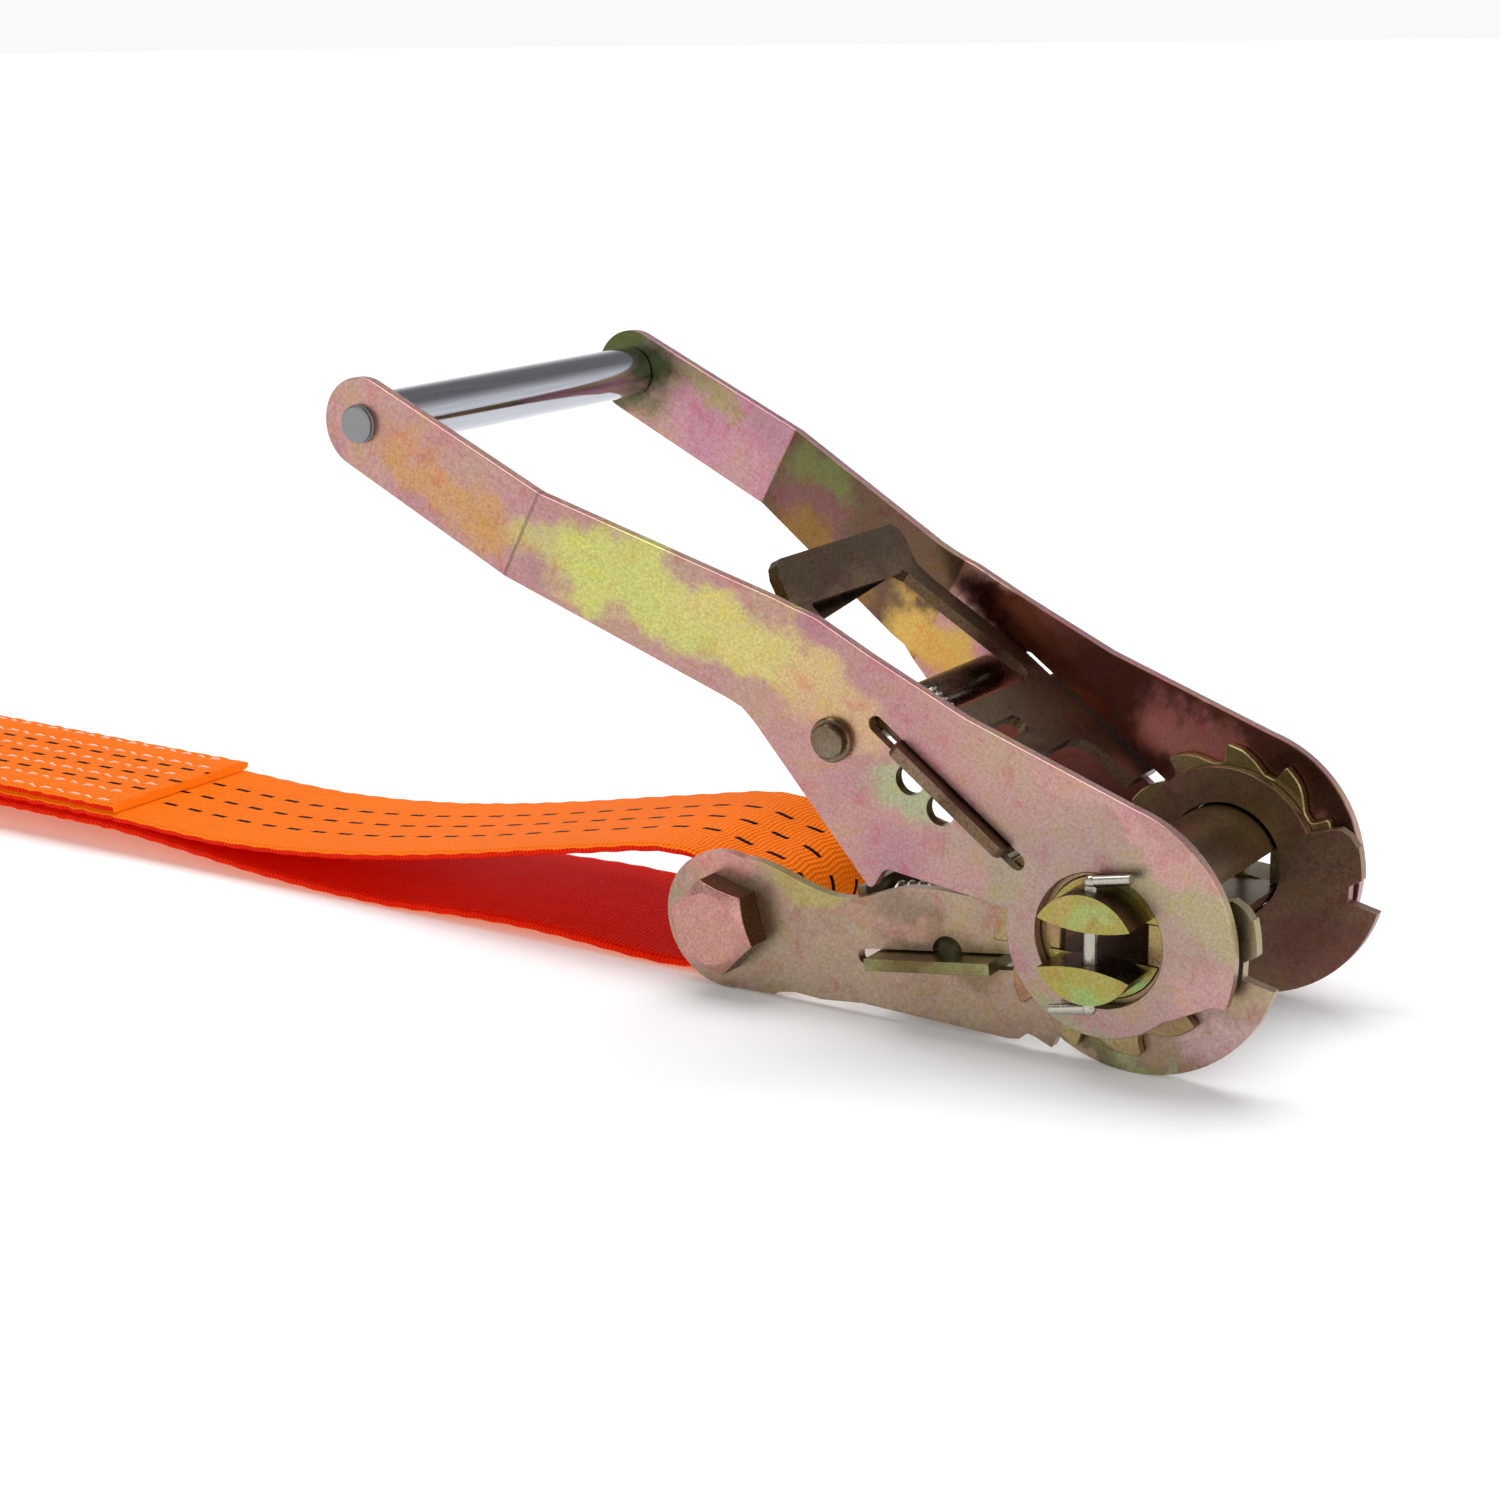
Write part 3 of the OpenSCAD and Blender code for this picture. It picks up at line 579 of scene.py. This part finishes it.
# weft ribs 1.1 mm apart. They lean one way and then the other in stripes 5 mm wide.
MATH = "ShaderNodeMath"
stripes = add(t, MATH, {"operation": "MULTIPLY"}, in0=U, in1=10.0)
lean = add(t, MATH, {"operation": "PINGPONG"}, in0=stripes, in1=1.0)
lean = add(t, MATH, {"operation": "MULTIPLY"}, in0=lean, in1=4.0)
ribs = add(t, MATH, {"operation": "MULTIPLY_ADD"}, in0=V, in1=WIDTH / 1.1 * 2 * math.pi,
           in2=lean)
ribs = add(t, MATH, {"operation": "SINE"}, in0=ribs)
ribs = add(t, MATH, {"operation": "MULTIPLY"}, in0=ribs, in1=0.6)
# warp yarns 1.25 mm apart
yarns = add(t, MATH, {"operation": "MULTIPLY"}, in0=U, in1=WIDTH / 1.25 * 2 * math.pi)
yarns = add(t, MATH, {"operation": "SINE"}, in0=yarns)
yarns = add(t, MATH, {"operation": "MULTIPLY"}, in0=yarns, in1=0.4)
cloth = add(t, MATH, {"operation": "ADD"}, in0=ribs, in1=yarns)
cloth = add(t, MATH, {"operation": "MULTIPLY_ADD"}, in0=fuzz, in1=0.9, in2=cloth)
# marker threads: rows 10 mm apart, of which the middle three count, a little ragged
stray = add(t, MATH, {"operation": "SUBTRACT"}, in0=fuzz, in1=0.5)
stray = add(t, MATH, {"operation": "MULTIPLY"}, in0=stray, in1=0.05)
row = add(t, MATH, {"operation": "MULTIPLY"}, in0=U, in1=5.0)
row = add(t, MATH, {"operation": "FRACT"}, in0=row)
row = add(t, MATH, {"operation": "SUBTRACT"}, in0=row, in1=0.5)
row = add(t, MATH, {"operation": "ABSOLUTE"}, in0=row)
row = add(t, MATH, {"operation": "ADD"}, in0=row, in1=stray)
row = add(t, MATH, {"operation": "LESS_THAN"}, in0=row, in1=0.068)
above = add(t, MATH, {"operation": "GREATER_THAN"}, in0=U, in1=0.22)
below = add(t, MATH, {"operation": "LESS_THAN"}, in0=U, in1=0.78)
middle = add(t, MATH, {"operation": "MULTIPLY"}, in0=above, in1=below)
# each thread floats on top for 4.4 mm in every 8.5 mm, and rows lag behind each other
slant = add(t, MATH, {"operation": "MULTIPLY"}, in0=U, in1=1.9)
floats = add(t, MATH, {"operation": "MULTIPLY_ADD"}, in0=V, in1=WIDTH / 8.5, in2=slant)
floats = add(t, MATH, {"operation": "FRACT"}, in0=floats)
floats = add(t, MATH, {"operation": "ADD"}, in0=floats, in1=stray)
floats = add(t, MATH, {"operation": "LESS_THAN"}, in0=floats, in1=0.52)
mark = add(t, MATH, {"operation": "MULTIPLY"}, in0=row, in1=middle)
mark = add(t, MATH, {"operation": "MULTIPLY"}, in0=mark, in1=floats)
# painted shade and highlight: the weave's grooves are darker and its ridges lighter, with a
# random tone from the fuzz; the inner face's deeper red is painted shade
tone = add(t, "ShaderNodeMapRange", Value=cloth, From_Min=-0.6, From_Max=1.3)
outer = add(t, "ShaderNodeMix", {"data_type": "RGBA"}, in0=tone, in6=linear("c63c02"),
            in7=linear("ff8018"))
inner = add(t, "ShaderNodeMix", {"data_type": "RGBA"}, in0=tone, in6=linear("b81400"),
            in7=linear("ee2800"))
is_inner = add(t, MATH, {"operation": "GREATER_THAN"}, in0=U, in1=1.5)
shades = add(t, "ShaderNodeMix", {"data_type": "RGBA"}, in0=is_inner, in6=outer.outputs[2],
             in7=inner.outputs[2])
dirt = add(t, "ShaderNodeTexNoise", Vector=uv, Scale=1.3, Detail=3.0)
worn = add(t, "ShaderNodeMapRange", Value=dirt, From_Min=0.3, From_Max=0.7, To_Min=0.9,
           To_Max=1.0)
worn = add(t, "ShaderNodeCombineColor", Red=worn, Green=worn, Blue=worn)
shades = add(t, "ShaderNodeMix", {"data_type": "RGBA", "blend_type": "MULTIPLY"}, in0=1.0,
             in6=shades.outputs[2], in7=worn)
marked = add(t, "ShaderNodeMix", {"data_type": "RGBA"}, in0=mark, in6=shades.outputs[2],
             in7=linear("120806"))
bump = add(t, "ShaderNodeBump", Strength=0.9, Distance=0.0003, Height=cloth)
thread = add(t, "ShaderNodeBsdfPrincipled", Base_Color=marked.outputs[2], Roughness=0.6,
             Specular_IOR_Level=0.06, Normal=bump)
# painted glow: the cloth gives out a steady red light of its own, weaker and redder on the
# inner face and none on the marker threads, which brightens it in shade as much as in light
glow_colour = add(t, "ShaderNodeMix", {"data_type": "RGBA"}, in0=is_inner, in6=(0.25, 0.052, 0.0, 1.0),
          in7=(0.14, 0.0, 0.0, 1.0))
glow_colour = add(t, "ShaderNodeMix", {"data_type": "RGBA"}, in0=mark, in6=glow_colour.outputs[2],
          in7=(0.0, 0.0, 0.0, 1.0))
painted_glow = add(t, "ShaderNodeEmission", Color=glow_colour.outputs[2], Strength=1.0)
glowing_cloth = add(t, "ShaderNodeAddShader", in0=thread, in1=painted_glow)
add(t, "ShaderNodeOutputMaterial", Surface=glowing_cloth)
webbing.materials.append(web)
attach(strap, "strap")
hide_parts("strap")

# ---------------------------------------------------------------- seam
# White bonded polyester thread, lock-stitched in six rows through the three layers. Only the
# stitches on top are made. Each is a short bow of thread that dips into the cloth at its ends.
THREAD_R = 0.38
SIDES, RINGS = 6, 6                     # round one stitch, and along it
FIRST_STITCH, LAST_STITCH = -285.5, -381        # the seam's ends, in x


def lift_at(x):
    """How far the sewn stretch stands clear of the table, at x."""
    return SEWN_LIFT + (END_LIFT - SEWN_LIFT) * (x - SEWN_FROM) / (SEWN_TO - SEWN_FROM)


stitch_verts, stitch_faces = [], []
for n, row_y in enumerate(SEAM_ROWS):
    x = FIRST_STITCH - (n % 2) * SEAM_PITCH / 2
    sway = -0.55            # millimetres that a stitch slants, one way and then the other
    while x > LAST_STITCH:
        start = len(stitch_verts)
        for i in range(RINGS + 1):
            f = i / RINGS
            at_x = x - f * SEAM_PITCH * 0.8
            at_y = row_y + sway * (2 * f - 1)
            cloth_top = up(0, TOP + lift_at(at_x) + HALF_PLY)[1]
            at_z = cloth_top - 0.5 + 0.36 * math.sin(math.pi * f)
            r = THREAD_R * (0.35 + 0.65 * math.sin(math.pi * min(max(f, 0.12), 0.88)))
            for j in range(SIDES):
                a = 2 * math.pi * j / SIDES
                stitch_verts.append((at_x / 1000, (at_y + r * math.cos(a)) / 1000,
                                     (at_z + r * math.sin(a)) / 1000))
        for i in range(RINGS):
            for j in range(SIDES):
                a, b = start + i * SIDES + j, start + i * SIDES + (j + 1) % SIDES
                stitch_faces.append((a, b, b + SIDES, a + SIDES))
        stitch_faces.append(tuple(start + j for j in range(SIDES - 1, -1, -1)))
        stitch_faces.append(tuple(start + RINGS * SIDES + j for j in range(SIDES)))
        x -= SEAM_PITCH
        sway = -sway
seam_mesh = bpy.data.meshes.new("strap_seam")
seam_mesh.from_pydata(stitch_verts, [], stitch_faces)
seam = bpy.data.objects.new("strap_seam", seam_mesh)
bpy.context.collection.objects.link(seam)
face_outwards(seam)
bpy.ops.object.shade_smooth()
# off-white, with strands 0.4 mm across, the darker of them tinted toward orange as painted
# light bounced from the webbing
white_thread, t = new_material("white bonded polyester thread")
twist = add(t, "ShaderNodeMapping", Vector=add(t, "ShaderNodeTexCoord").outputs["Object"])
twist.inputs["Scale"].default_value = (1000, 1000, 1000)
strands = add(t, "ShaderNodeTexNoise", Vector=twist, Scale=2.5, Detail=2.0)
tint = add(t, "ShaderNodeMix", {"data_type": "RGBA"}, in0=strands, in6=linear("e2a284"),
           in7=linear("f7dccb"))
bump = add(t, "ShaderNodeBump", Strength=0.5, Distance=0.0001, Height=strands)
fibre = add(t, "ShaderNodeBsdfPrincipled", Base_Color=tint.outputs[2], Roughness=0.5,
            Normal=bump)
add(t, "ShaderNodeOutputMaterial", Surface=fibre)
seam_mesh.materials.append(white_thread)
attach(seam, "strap")
